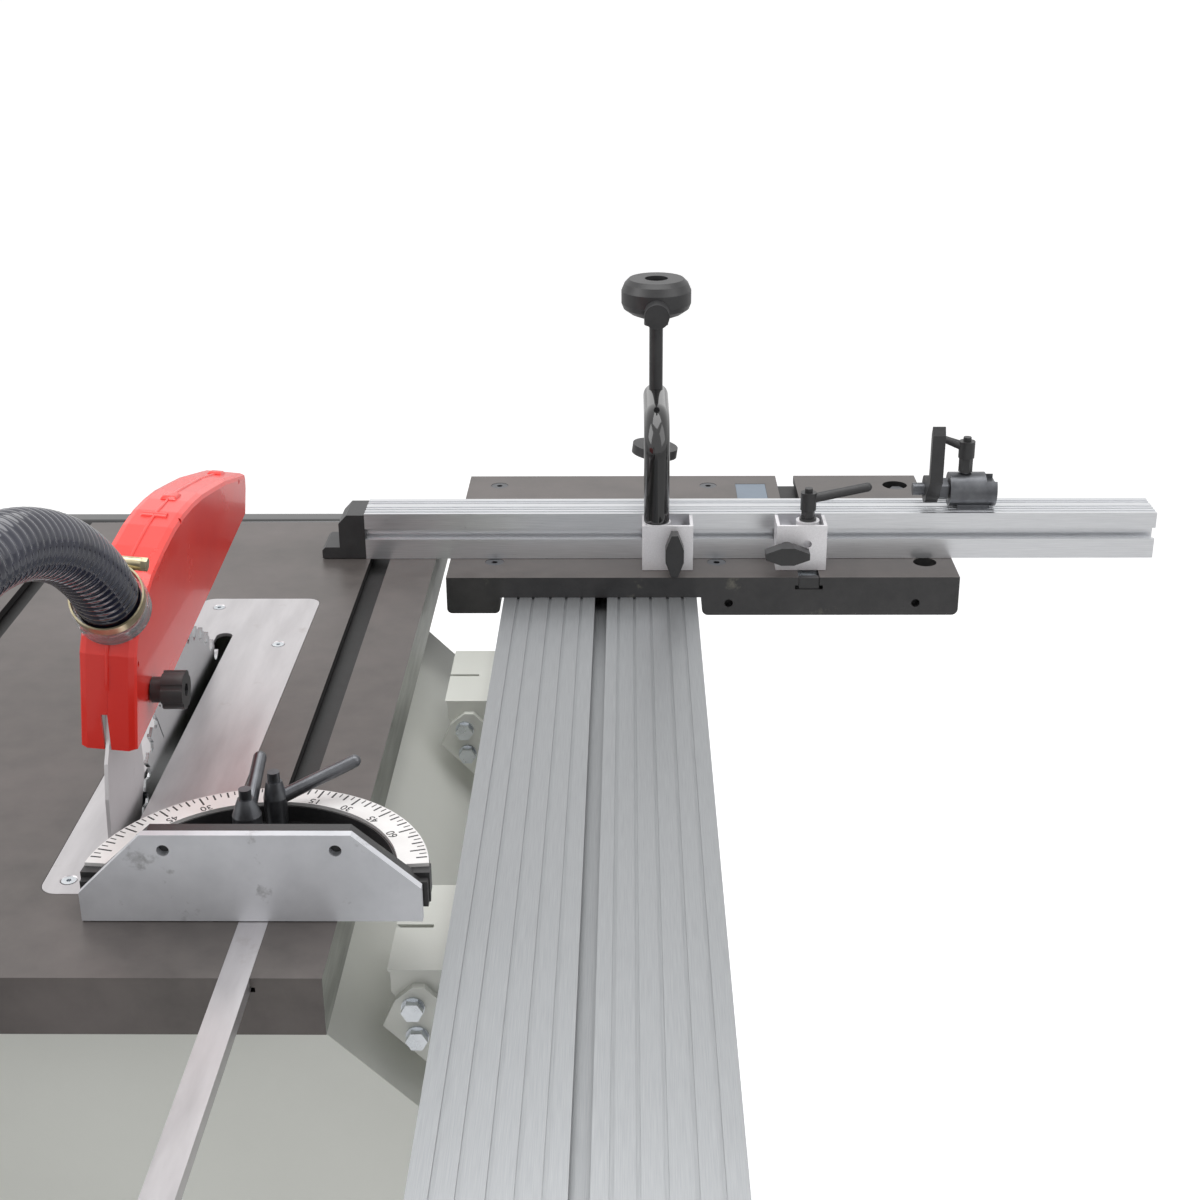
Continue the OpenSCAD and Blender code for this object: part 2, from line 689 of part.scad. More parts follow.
module motor_pulley() color("#9a9da0") placed() {
    difference() {
        bar_x(40, -104, -78, 0, motor_z);
        for (i = [0:4])
            translate([-99.5 + 4 * i, 0, motor_z]) rotate([0, 90, 0]) rotate_extrude()
                polygon([[41, -0.2], [41, 3.2], [37.6, 1.5]]);
    }
    bar_x(12, -139, -80, 0, motor_z);
}

// Ribbed belt round both pulleys: two arcs and the straight runs between them.
belt_drop = arbor_z - motor_z;

module belt_loop(grow) hull() {
    translate([0, arbor_z]) circle(28 + grow);
    translate([0, motor_z]) circle(40 + grow);
}

module drive_belt() color(dark) placed() along_x(-102, -80) difference() {
    belt_loop(4);
    belt_loop(0.3);
}

// ---- Riving knife and guard ----

knife_front = blade_r + 5;

module riving_knife() color(steel) placed() difference() {
    along_x(-1.25, 1.25) difference() {
        polygon([[-120, -24], [-120, 40], [-135, 120], [-178, 120], [-189, 76], [-200, 63], [-207, 40],
            [-212, 4], [-213, -60], [-206, -130], [-150, -130]]);
        translate([0, arbor_z]) circle(knife_front, $fn = 120);
        translate([-195, -135]) square([10, 50]);
    }
    bar_x(4.05, -2, 2, knob_at[0], knob_at[1]);
}

// Clamping plate and nut that hold the knife to the lifting carriage.
module knife_clamp() color("#8c8f92") placed() {
    block([1.3, -204, arbor_z - 32], [8, -176, arbor_z - 8]);
    translate([8, -190, arbor_z - 20]) rotate([0, 90, 0]) hex_head(16, 9);
    bar_x(4.9, -18, 8.1, -190, arbor_z - 20);
}

// Side outline of the guard, drawn in Y and Z.
guard_line = [[-191.5, 70], [-191.5, 140], [-187, 151], [-179, 160], [-163, 172], [-143, 181],
    [-112, 187], [-80, 190.5], [-51, 191], [-20, 188.5], [12, 184], [55, 175], [96, 166], [180, 143],
    [184, 130], [184, 107]];

// The guard leans a little towards the beam, from its lower edge up.
module leaning() translate([0, 0, 70]) rotate([0, guard_lean, 0]) translate([0, 0, -70]) children();

// The guard's solid with soft edges along its crest, less a wall of t.
module guard_form(t) hull() {
    along_x(-14 + t, 14 - t) offset(delta = -t) polygon(guard_line);
    along_x(-17.8 + t, 17.8 - t) offset(delta = -t - 1.2) polygon(guard_line);
    along_x(-19 + t, 19 - t) offset(delta = -t - 4) polygon(guard_line);
    along_x(-19 + t, 19 - t) polygon([[-187 + t, 70], [-187 + t, 90], [170, 125], [180 - t, 107]]);
}

// The dust spigot's axis on the guard.
module on_port() leaning() translate([0, port_at[0], port_at[1]]) rotate([90 - port_dir, 0, 0]) children();

// Lugs that join the halves along the crest.
guard_lugs = [[-184, 132], [-60, 188], [150, 146]];

// Keeps one side of the leaning middle plane.
module one_side(side) intersection() {
    children();
    leaning() block([side > 0 ? 0.05 : -60, -300, 0], [side > 0 ? 60 : -0.05, 300, 300]);
}

module guard_half(side) difference() {
    union() {
        one_side(side) leaning() difference() {
            guard_form(0);
            guard_form(3);
            along_x(-15.5, 15.5) polygon([[-188, 60], [-188, 75], [181, 112], [181, 60]]);
        }
        one_side(side) on_port() translate([0, 0, 6]) cylinder(r = spigot_r, h = 36);
        leaning() for (p = guard_lugs)
            bar_x(5, side > 0 ? 0.05 : -9, side > 0 ? 9 : -0.05, p[0], p[1]);
        bar_x(9, side > 0 ? 2.2 : -16, side > 0 ? 21.5 : -2.2, knob_at[0], knob_at[1]);
    }
    on_port() translate([0, 0, -12]) cylinder(r = spigot_r - 2.5, h = 62);
    leaning() for (p = guard_lugs)
        bar_x(2, -20, 20, p[0], p[1]);
    bar_x(4.05, -40, 40, knob_at[0], knob_at[1]);
    // slot in the rear face for the knife
    block([-2.2, -200, 60], [2.2, -120, 96]);
}

module guard_left() color(red) placed() guard_half(-1);

module guard_right() color(red) placed() guard_half(1);

// Star knob whose stem passes through the guard and the knife.
module guard_knob() color(dark) placed() {
    bar_x(4, -24, 33, knob_at[0], knob_at[1]);
    bar_x(9, 22.8, 31, knob_at[0], knob_at[1]);
    difference() {
        bar_x(13.5, 31, 46, knob_at[0], knob_at[1]);
        translate([42, knob_at[0], knob_at[1]]) rotate([0, 90, 0]) cylinder(r = 5, h = 6, $fn = 6);
        for (a = [0:60:300])
            translate([0, knob_at[0], knob_at[1]]) rotate([a, 0, 0]) bar_x(3, 30, 47, 0, 15.2);
    }
}

// Clear cuff over the hose's end, and the band clamp with its worm screw.
module hose_collar() color("#d8dde0") placed() on_port() difference() {
    translate([0, 0, 19.3]) cylinder(r = 25.4, h = 13.7);
    translate([0, 0, 20.8]) cylinder(r = 23.2, h = 13);
    translate([0, 0, 18]) cylinder(r = spigot_r + 0.1, h = 4);
}

module band_clamp() color("#c9b98a") placed() on_port() difference() {
    union() {
        translate([0, 0, 34.5]) cylinder(r = 24.4, h = 9);
        translate([4, 26, 39]) rotate([0, 90, 0]) cylinder(r = 4.5, h = 14);
        translate([16, 26, 39]) rotate([0, 90, 0]) hex_head(8, 6);
    }
    translate([0, 0, 33]) cylinder(r = 23.2, h = 12);
}

// ---- Dust hose ----

function lerp(a, b, t) = a + (b - a) * t;
// A point on the smooth curve through the route, u from 0 to the last point's number.
function spot(u) = let(n = len(hose_route) - 1, i = min(floor(u), n - 1), t = u - i,
    a = hose_route[max(i - 1, 0)], b = hose_route[i], c = hose_route[i + 1],
    d = hose_route[min(i + 2, n)])
    0.5 * (2 * b + (c - a) * t + (2 * a - 5 * b + 4 * c - d) * t * t + (3 * b - a - 3 * c + d) * t * t * t);
function unit(v) = v / norm(v);
function heading(u) = unit(spot(min(u + 0.02, len(hose_route) - 1)) - spot(max(u - 0.02, 0)));
// One ring of the tube, its first corner always towards +X.
function ring(u, r, sides) = let(h = heading(u), up = unit(cross(h, [1, 0, 0])), side = cross(up, h))
    [for (k = [0:sides - 1]) let(a = 360 * k / sides) spot(u) + r * (cos(a) * side + sin(a) * up)];

hose_sides = 8;
// A polygon of eight sides with a circle's area has corners this much further out
even_area = 1.054;
hose_crest = hose_d / 2 * even_area;
hose_valley = hose_crest - 1.9;
hose_bore = hose_valley - 0.9;
spigot_r = 18.1;
route_end = len(hose_route) - 1;
// Ring stations: outside with its ribs, then back through the bore.
rib_pitch = (route_end - 2) / hose_ribs;
outer_rings = concat([[0, hose_valley]],
    [for (i = [0:hose_ribs - 1], k = [0, 1]) [1 + rib_pitch * (i + 0.5 * k), k == 0 ? hose_valley : hose_crest]],
    [[route_end - 1, hose_valley], [route_end, hose_valley]]);
inner_rings = [for (i = [4 * route_end:-2:0]) [i / 4, hose_bore]];

module dust_hose() color("#1c2233") placed() {
    rings = concat(outer_rings, inner_rings);
    n = len(rings);
    points = [for (g = rings) each ring(g[0], g[1], hose_sides)];
    polyhedron(points, [for (i = [0:n - 1], k = [0:hose_sides - 1])
        let(j = (i + 1) % n, m = (k + 1) % hose_sides,
            a = i * hose_sides + k, b = i * hose_sides + m, c = j * hose_sides + k, d = j * hose_sides + m)
        each [[a, c, b], [b, c, d]]]);
}

// ---- Crosscut fence ----

module slot_nut() color(zinc) placed() {
    block([cross_slot - 12.7, post[1] - 15, -11.7], [cross_slot + 12.7, post[1] + 15, -8.3]);
    block([cross_slot - 9.5, post[1] - 9, -8.4], [cross_slot + 9.5, post[1] + 9, -0.4]);
    bar_z(4.9, -1, 60, cross_slot, post[1]);
}

// U-channel, open at the top and towards the fence.
module channel_block(x0, x1) difference() {
    block([x0, 310, 0.3], [x1, fence_y[0] - 0.3, 44.5]);
    block([x0 + 3, 313, 3.3], [x1 - 3, fence_y[0] + 1, 46]);
}

module clamp_block_2() color(alu) placed() difference() {
    union() {
        channel_block(489.7, 536.7);
        bar_z(11, 3, 45, cross_slot, post[1]);
        block([490, 318, 20.2], [506, 340.6, 30.2]);
    }
    bar_z(5, -1, 60, cross_slot, post[1]);
    bar_y(4.05, 300, 345, 499, 21);
    bar_y(4, 300, 316, cross_slot - 1, 26);
}

// A clamping lever: base washer, hex neck, hub with a screw and a slanting arm.
module clamp_lever(base_r, neck, hub_r, hub_h, reach, rise, arm_r) {
    cylinder(r = base_r, h = 2);
    hex_head(hub_r * 1.5, neck + 1);
    translate([0, 0, neck]) cylinder(r = hub_r, h = hub_h);
    translate([0, 0, neck + hub_h]) cylinder(r = hub_r * 0.5, h = 4);
    hull() {
        translate([0, 0, neck + hub_h * 0.6]) sphere(hub_r * 0.62, $fn = 24);
        translate([reach, 0, neck + hub_h * 0.6 + rise]) sphere(arm_r, $fn = 24);
    }
}

module index_lever() color(dark) placed()
    translate([cross_slot, post[1], 45.3]) rotate([0, 0, 8]) difference() {
        clamp_lever(8, 10, 7.4, 17, 56, 9, 4.5);
        translate([0, 0, -1]) cylinder(r = 4.96, h = 16.5);
    }

// Wing knob: a diamond grip with a stem along +Y, centred on its axis.
module wing_knob(x, z, turn) translate([x, 310, z]) rotate([90, 0, 0]) {
    translate([0, 0, 0.3]) cylinder(r = 8, h = 6);
    translate([0, 0, -30]) cylinder(r = 4, h = 31);
    translate([0, 0, 6]) rotate([0, 0, turn]) linear_extrude(14)
        polygon([[-20.5, -3], [-20.5, 3], [-6, 8.5], [6, 8.5], [20.5, 3], [20.5, -3], [6, -8.5], [-6, -8.5]]);
}

module wing_knob_2() color(dark) placed() wing_knob(499, 21, 0);

module fence_profile() difference() {
    translate([fence_y[0], 0.3]) square([fence_y[1] - fence_y[0], fence_h - 0.3]);
    translate([fence_y[0] + 3, 3.3]) square([fence_y[1] - fence_y[0] - 6, 12.5]);
    translate([fence_y[0] - 1, 19.8]) square([9, 10.8]);
    translate([fence_y[0] + 3.5, 17.6]) square([7, 15.2]);
    translate([fence_y[0] + 14, 19]) square([fence_y[1] - fence_y[0] - 17, 16]);
    translate([fence_y[0] + 4, 38.5]) square([fence_y[1] - fence_y[0] - 8, 4]);
    for (y = [345, 352, 358, 369.5, 374.5])
        translate([y, fence_h - 1]) square([3.4, 2]);
}

module fence() color(alu) placed() along_x(fence_x, fence_x + fence_l) fence_profile();

// Moulded shoe on the fence's blade end.
module fence_shoe() color(dark) placed() {
    along_y(fence_y[0], fence_y[1])
        polygon([[57, 1], [fence_x, 1], [fence_x, 44.5], [82, 44.5], [74, 36], [74, 12], [60, 12], [57, 9]]);
}

module clamp_block_1() color(alu) placed() difference() {
    union() {
        channel_block(364, 411.6);
        bar_z(13.4, 0.3, 44, post[0], post[1]);
        block([387, 318, 15], [402, 340.6, 30]);
    }
    bar_z(12.06, -1, 60, post[0], post[1]);
    bar_y(4.05, 300, 345, wing_1_x, 21.5);
}

module wing_knob_1() color(dark) placed() wing_knob(wing_1_x, 21.5, 90);

// Bent tube: post, elbow and arm, with the boss for the spindle.
arm_z = 138;
spindle_y = 410;
post_x = post[0];

module holddown_arm() color(dark) placed() difference() {
    union() {
        bar_z(12, 6, arm_z - 30, post_x, post[1]);
        translate([post_x, post[1] + 30, arm_z - 30]) rotate([90, 0, -90])
            rotate_extrude(angle = 90) translate([30, 0]) circle(12);
        bar_y(12, post[1] + 30, 425, post_x, arm_z);
    }
    bar_z(6.56, arm_z - 20, arm_z + 20, post_x, spindle_y);
}

module holddown_spindle() color(dark) placed() translate([post_x, spindle_y, 0]) {
    bar_z(6.5, 98, 222, 0, 0);
    translate([0, 0, 93]) sphere(7);
    bar_z(11.5, 212, 219.5, 0, 0);
    difference() {
        translate([0, 0, 219]) rotate_extrude()
            polygon([[0, 0], [14, 0], [24, 4], [31, 9], [33, 14], [33, 26], [30, 33], [26, 37], [0, 37]]);
        translate([0, 0, 250]) cylinder(r = 11, h = 8);
    }
    bar_y(11.5, -52, -28, 0, 231);
}

module holddown_pad() color(dark) placed() translate([post_x, spindle_y, 93]) difference() {
    rotate([0, 8, 0]) translate([0, 0, -10]) cylinder(r = 22, h = 9);
    sphere(7.3);
    cylinder(r1 = 5, r2 = 16, h = 14);
}

// ---- Length stop ----

module stop_body() color("#55585c") placed() {
    difference() {
        bar_x(16.3, 656, 700, stop_axis[0], stop_axis[1]);
        block([690, 350, 70], [705, 374, 90]);
    }
    bar_x(6, 622, 657, stop_axis[0], stop_axis[1]);
    translate([646.5, stop_axis[0], stop_axis[1]]) rotate([0, 90, 0]) hex_head(19, 8);
    block([664, 352, 45.9 + 0.1], [694, 372, 50]);
    bar_z(4, 70, 92, 671, stop_axis[0]);
}

// Flip flag: a ring on the stop's stud with a cranked, pointed arm.
module stop_flag() color(dark) placed() difference() {
    union() {
        bar_x(13, 633, 645, stop_axis[0], stop_axis[1]);
        along_x(633, 645) translate(stop_axis)
            polygon([[-8, -8], [-31, 16], [-31, 62], [-27, 70], [-23, 62], [-23, 20], [-5, 9]]);
    }
    bar_x(6.06, 630, 650, stop_axis[0], stop_axis[1]);
}

module stop_lever() color(dark) placed()
    translate([671, stop_axis[0], 80.5]) rotate([0, 0, 170]) difference() {
        clamp_lever(6, 14, 7.6, 16, 21, 7, 3.4);
        translate([0, 0, -1]) cylinder(r = 4.05, h = 13);
    }

// ---- Mitre gauge ----

module gauge_bar() color(steel) placed() {
    block([slot_right - 9.4, -590, -9.6], [slot_right + 9.4, -160, 0]);
    block([slot_right - 12, -330, -9.6], [slot_right + 12, -200, -6.9]);
    // carrier under the head for the two clamping studs
    block([lever_1[0] - 12, lever_1[1] - 14, 0.3], [slot_right + 12, lever_2[1] + 12, 5.6]);
    block([slot_right - 9, lever_1[1] - 14, -1], [slot_right + 9, lever_2[1] + 12, 1]);
    bar_z(2.94, -1, 14, pivot[0], pivot[1]);
    for (p = [lever_1, lever_2])
        bar_z(3.9, 0.5, 40.5, p[0], p[1]);
}

// A sector of a ring lying flat round the gauge's pivot, angles measured from +Y.
module flat_ring(r0, r1, a, z0, z1) translate([pivot[0], pivot[1], z0])
    rotate([0, 0, 90 - a]) rotate_extrude(angle = 2 * a) translate([r0, 0]) square([r1 - r0, z1 - z0]);

lever_1_r = norm(lever_1 - pivot);
lever_2_r = norm(lever_2 - pivot);

// Casting: half disc with raised rim, hub and the back of the face.
module gauge_head() color(dark) placed() difference() {
    union() {
        flat_ring(0.1, gauge_r - 1, 88, 6, 16);
        flat_ring(gauge_r - 22, gauge_r, 88, 6, 27.5);
        block([pivot[0] - 16, -287.5, 0.4], [pivot[0] + 16, -262, 6.5]);
        along_y(-288, -276)
            polygon([[6, 3], [218, 3], [218, 24], [176, 61], [48, 61], [6, 22]]);
        block([pivot[0] + 88, -285, 6], [pivot[0] + gauge_r - 1, -262, 24]);
        block([pivot[0] - gauge_r + 1, -285, 6], [pivot[0] - 88, -262, 24]);
    }
    bar_z(3, 0, 40, pivot[0], pivot[1]);
    flat_ring(lever_1_r - 4.3, lever_1_r + 4.3, 72, 0, 40);
    flat_ring(lever_2_r - 4.3, lever_2_r + 4.3, 60, 0, 20);
}

// Graduated band on the rim.
module gauge_scale() color("#e6e6e2") placed() flat_ring(gauge_r - 20.5, gauge_r - 0.5, 84, 27.5, 30);

module gauge_face() color(steel) placed() difference() {
    along_y(-294, -288)
        polygon([[3, 0.6], [220.5, 0.6], [220.5, 24.7], [178, 63], [45.7, 63], [3, 21]]);
    for (x = [59.6, 167.9])
        bar_y(4, -300, -280, x, 52);
}

// A cast clamping lever: knurled collar, cone-topped hub with its screw and a slanting arm.
module cone_lever(collar_r, hub_r, reach, rise) {
    cylinder(r = collar_r, h = 8);
    translate([0, 0, 7]) cylinder(r1 = collar_r, r2 = hub_r, h = 8);
    translate([0, 0, 15]) cylinder(r = hub_r, h = 8);
    translate([0, 0, 23]) cylinder(r1 = hub_r, r2 = 5.4, h = 12);
    translate([0, 0, 34]) cylinder(r = 4.2, h = 8);
    hull() {
        translate([4, 0, 22]) sphere(5, $fn = 24);
        translate([reach, 0, 22 + rise]) sphere(4.6, $fn = 24);
    }
}

module gauge_lever_1() color(dark) placed() translate([lever_1[0], lever_1[1], 16.3])
    rotate([0, 0, 90]) difference() {
        cone_lever(7.3, 9.8, 52, 16);
        translate([0, 0, -1]) cylinder(r = 3.95, h = 26);
    }

module gauge_lever_2() color(dark) placed() translate([lever_2[0], lever_2[1], 16.3])
    rotate([0, 0, 24]) difference() {
        cone_lever(7.4, 8, 56, 16);
        translate([0, 0, -1]) cylinder(r = 3.95, h = 26);
    }

cabinet();
feet();
door_pins();
cabinet_door();
main_table();
table_insert();
machine_screws();
rip_rail();
dust_outlet();
switch_box();
start_button();
stop_button();
beam_brackets();
fixed_rail();
ball_cages();
beam();
beam_end_caps();
crosscut_table();
crosscut_screws();
scale_inlay();
trunnions();
tilt_carriage();
tilt_wheel();
lift_carriage();
height_wheel();
motor();
motor_pulley();
drive_belt();
arbor_bearings();
arbor();
blade_flanges();
saw_blade();
riving_knife();
knife_clamp();
guard_left();
guard_right();
guard_knob();
hose_collar();
band_clamp();
dust_hose();
slot_nut();
clamp_block_2();
index_lever();
wing_knob_2();
fence();
fence_shoe();
clamp_block_1();
wing_knob_1();
holddown_arm();
holddown_spindle();
holddown_pad();
stop_body();
stop_flag();
stop_lever();
gauge_bar();
gauge_head();
gauge_scale();
gauge_face();
gauge_lever_1();
gauge_lever_2();
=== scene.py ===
# %% [markdown]
# # A panel saw with a sliding beam
# The saw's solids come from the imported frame, and this script gives them their looks.
# Each piece is placed from the table's own zero point: the table top, in the blade's plane,
# over the arbor. One small function turns those millimetres into the frame's metres.

# %% Start with an empty scene and load the frame
import json
import math

import bmesh
import bpy
import numpy as np
from mathutils import Matrix, Vector

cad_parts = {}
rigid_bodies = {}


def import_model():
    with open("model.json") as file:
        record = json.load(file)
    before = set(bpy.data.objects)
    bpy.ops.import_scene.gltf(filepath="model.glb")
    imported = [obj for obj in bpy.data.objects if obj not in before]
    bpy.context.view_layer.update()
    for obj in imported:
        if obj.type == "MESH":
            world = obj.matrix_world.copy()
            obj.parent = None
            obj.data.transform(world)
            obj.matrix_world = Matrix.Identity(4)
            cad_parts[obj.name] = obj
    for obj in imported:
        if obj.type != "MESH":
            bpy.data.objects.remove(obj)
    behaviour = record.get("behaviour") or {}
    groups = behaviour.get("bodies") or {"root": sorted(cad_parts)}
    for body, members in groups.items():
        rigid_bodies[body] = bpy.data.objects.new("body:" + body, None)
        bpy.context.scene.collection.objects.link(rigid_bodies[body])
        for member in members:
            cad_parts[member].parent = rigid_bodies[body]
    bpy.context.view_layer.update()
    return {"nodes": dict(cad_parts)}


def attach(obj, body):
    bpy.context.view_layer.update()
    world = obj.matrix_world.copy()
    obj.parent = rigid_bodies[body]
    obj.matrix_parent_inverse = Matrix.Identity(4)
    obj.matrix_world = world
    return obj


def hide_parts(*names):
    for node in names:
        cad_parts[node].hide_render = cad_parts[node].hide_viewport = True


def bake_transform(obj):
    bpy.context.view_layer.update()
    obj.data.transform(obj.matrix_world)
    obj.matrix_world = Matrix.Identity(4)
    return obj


for leftover in list(bpy.data.objects):
    bpy.data.objects.remove(leftover)
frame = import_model()
nodes = frame["nodes"]
TABLE_H = 850.0
MID_X, MID_Y = 221.0, -218.0


def at(x, y, z):
    """A point in millimetres from the table's zero point, as metres in the frame."""
    return Vector(((x - MID_X) / 1000, (y - MID_Y) / 1000, (z + TABLE_H) / 1000))


# %% [markdown]
# ## The camera
# A saw like this is seen from its outfeed end, from a little above head height of a seated
# person. A camera is only a place, two turns and a lens, so the three axes are computed
# from the angles and written straight into its matrix. Setting it first means that every
# piece can be judged as it is made.

# %% Camera
PITCH, YAW, ROLL = math.radians(22.62), math.radians(-1.02), math.radians(0.45)
eye = at(352, -1269, 628)
ahead = Vector((math.sin(YAW) * math.cos(PITCH), math.cos(YAW) * math.cos(PITCH), -math.sin(PITCH)))
level = Vector((math.cos(YAW), -math.sin(YAW), 0))
across = math.cos(ROLL) * level + math.sin(ROLL) * ahead.cross(level)
upward = across.cross(ahead)
camera = bpy.data.objects.new("camera", bpy.data.cameras.new("camera"))
bpy.context.scene.collection.objects.link(camera)
camera.data.lens, camera.data.sensor_width = 54, 36
camera.matrix_world = Matrix.Translation(eye) @ Matrix((across, upward, -ahead)).transposed().to_4x4()
bpy.context.scene.camera = camera
print("camera at", [round(v, 3) for v in eye], "lens", camera.data.lens)

# %% [markdown]
# ## The dust hose
# The hose is a spiral-ribbed plastic tube. It leaves the guard slanting up, sags over the
# outfeed end of the table and comes back into the dust outlet under the table.
# A curve with a bevel would give a smooth tube, so the ribs are made as mesh: rings of
# points are set along the route, and their radius follows a wave that also turns with the
# angle round the tube, which makes one continuous spiral.

# %% The hose's route, smoothed
HOSE_R = 21.5
ROUTE = [(9.4, -174.8, 166.4), (11.7, -198.2, 189.6), (13, -222, 211), (12, -257, 237),
         (10, -297, 258), (7, -340, 273), (4, -385, 280), (0, -430, 277), (-7, -473, 264), (-17, -513, 240),
         (-29, -546, 204), (-42, -570, 158), (-56, -582, 104), (-71, -585, 46), (-87, -582, -14),
         (-103, -575, -72), (-118, -562, -128), (-134, -545, -180), (-151, -524, -228),
         (-160, -500, -270), (-160, -470, -300), (-160, -440, -330)]


def smooth_line(points, per_span):
    """Catmull-Rom points through a route, and the length along it at each one."""
    p = np.array([points[0], *points, points[-1]], float)
    out = []
    for i in range(len(points) - 1):
        a, b, c, d = p[i:i + 4]
        for t in np.arange(per_span) / per_span:
            out.append(0.5 * (2 * b + (c - a) * t + (2 * a - 5 * b + 4 * c - d) * t ** 2
                              + (3 * b - a - 3 * c + d) * t ** 3))
    out = np.array([*out, points[-1]])
    return out, np.concatenate([[0], np.cumsum(np.linalg.norm(np.diff(out, axis=0), axis=1))])


hose_line, hose_along = smooth_line(ROUTE, 30)
hose_length = hose_along[-1]
print("hose length", round(hose_length), "mm")


# %% A tube of rings along a line
def add_mesh(name, verts, faces, mats, smooth=True, part_of=None):
    """A mesh object from points in millimetres, with one finish or one for each face."""
    mesh = bpy.data.meshes.new(name)
    mesh.from_pydata([tuple(at(*v)) for v in verts], [], faces)
    for m in mats if isinstance(mats, (list, tuple)) else [mats]:
        mesh.materials.append(m)
    if part_of is not None:
        mesh.polygons.foreach_set("material_index", part_of)
    if smooth:
        mesh.shade_smooth()
    mesh.update()
    obj = bpy.data.objects.new(name, mesh)
    bpy.context.scene.collection.objects.link(obj)
    return obj


def tube(stations, line, along, radius, sides, cap=False):
    """Rings round a line at the given lengths along it. radius(length, angle) is in mm."""
    verts, faces = [], []
    for s in stations:
        centre = np.array([np.interp(s, along, line[:, k]) for k in range(3)])
        near = np.array([np.interp(s + 2, along, line[:, k]) for k in range(3)])
        back = np.array([np.interp(s - 2, along, line[:, k]) for k in range(3)])
        ahead_ = (near - back) / np.linalg.norm(near - back)
        up_ = np.cross(ahead_, [1, 0, 0])
        up_ /= np.linalg.norm(up_)
        side_ = np.cross(up_, ahead_)
        for k in range(sides):
            angle = 2 * math.pi * k / sides
            r = radius(s, angle)
            verts.append(centre + r * (math.cos(angle) * side_ + math.sin(angle) * up_))
    n = len(stations)
    for i in range(n - 1):
        for k in range(sides):
            m = (k + 1) % sides
            faces.append((i * sides + k, i * sides + m, (i + 1) * sides + m, (i + 1) * sides + k))
    if cap:
        faces += [tuple(range(sides))[::-1], tuple(range((n - 1) * sides, n * sides))]
    return verts, faces


# %% [markdown]
# ## How the finishes are made
# A real surface is never one colour. Each finish starts from the same small helper: a
# Principled shader, a noise that moves its colour a little, another that moves its
# roughness, and a bump. Brushed metal uses the same noise stretched along the direction
# of the tool, so that it shows as fine lines.

# %% A helper for every finish
def node(tree, kind, **values):
    """A shader node with its sockets and settings filled in."""
    n = tree.nodes.new(kind)
    for key, value in values.items():
        if key in n.inputs:
            n.inputs[key].default_value = value
        else:
            setattr(n, key, value)
    return n


def surface(name, colour, dark, rough, size, stretch=(1, 1, 1), spread=0.08, bump=0.1,
            bump_size=None, bump_depth=0.0004, metal=0.0, coat=0.0, detail=6, **sockets):
    """A finish whose colour moves between two tones, with roughness and bump from noise."""
    mat = bpy.data.materials.new(name)
    mat.use_nodes = True
    tree = mat.node_tree
    shader = tree.nodes["Principled BSDF"]
    shader.inputs["Metallic"].default_value = metal
    shader.inputs["Coat Weight"].default_value = coat
    for key, value in sockets.items():
        shader.inputs[key.replace("_", " ")].default_value = value
    where = node(tree, "ShaderNodeTexCoord")
    mapped = node(tree, "ShaderNodeMapping", Scale=stretch)
    tree.links.new(where.outputs["Object"], mapped.inputs["Vector"])
    grain = node(tree, "ShaderNodeTexNoise", Scale=size, Detail=detail, Roughness=0.6)
    tree.links.new(mapped.outputs["Vector"], grain.inputs["Vector"])
    tone = node(tree, "ShaderNodeValToRGB")
    tone.color_ramp.elements[0].position, tone.color_ramp.elements[0].color = 0.3, (*dark, 1)
    tone.color_ramp.elements[1].position, tone.color_ramp.elements[1].color = 0.7, (*colour, 1)
    tree.links.new(grain.outputs["Fac"], tone.inputs["Fac"])
    tree.links.new(tone.outputs["Color"], shader.inputs["Base Color"])
    gloss = node(tree, "ShaderNodeMapRange")
    gloss.inputs["To Min"].default_value, gloss.inputs["To Max"].default_value = rough - spread, rough + spread
    tree.links.new(grain.outputs["Fac"], gloss.inputs["Value"])
    tree.links.new(gloss.outputs["Result"], shader.inputs["Roughness"])
    fine = node(tree, "ShaderNodeTexNoise", Scale=bump_size or size * 3, Detail=4)
    tree.links.new(mapped.outputs["Vector"], fine.inputs["Vector"])
    relief = node(tree, "ShaderNodeBump", Strength=bump, Distance=bump_depth)
    tree.links.new(fine.outputs["Fac"], relief.inputs["Height"])
    tree.links.new(relief.outputs["Normal"], shader.inputs["Normal"])
    return mat


def stained(mat, colour, size, edge=(0.52, 0.62), stretch=(1, 1, 1)):
    """Adds patches of another colour over a finish, such as rubbed or oily places."""
    tree = mat.node_tree
    shader = tree.nodes["Principled BSDF"]
    was = shader.inputs["Base Color"].links[0].from_socket
    where = node(tree, "ShaderNodeTexCoord")
    mapped = node(tree, "ShaderNodeMapping", Scale=stretch, Location=(3.7, 1.9, 5.3))
    patches = node(tree, "ShaderNodeTexNoise", Scale=size, Detail=8, Roughness=0.65)
    mask = node(tree, "ShaderNodeMapRange")
    mask.inputs["From Min"].default_value, mask.inputs["From Max"].default_value = edge
    mix = node(tree, "ShaderNodeMix", data_type="RGBA")
    mix.inputs["B"].default_value = (*colour, 1)
    tree.links.new(where.outputs["Object"], mapped.inputs["Vector"])
    tree.links.new(mapped.outputs["Vector"], patches.inputs["Vector"])
    tree.links.new(patches.outputs["Fac"], mask.inputs["Value"])
    tree.links.new(mask.outputs["Result"], mix.inputs["Factor"])
    tree.links.new(was, mix.inputs["A"])
    tree.links.new(mix.outputs["Result"], shader.inputs["Base Color"])
    return mat


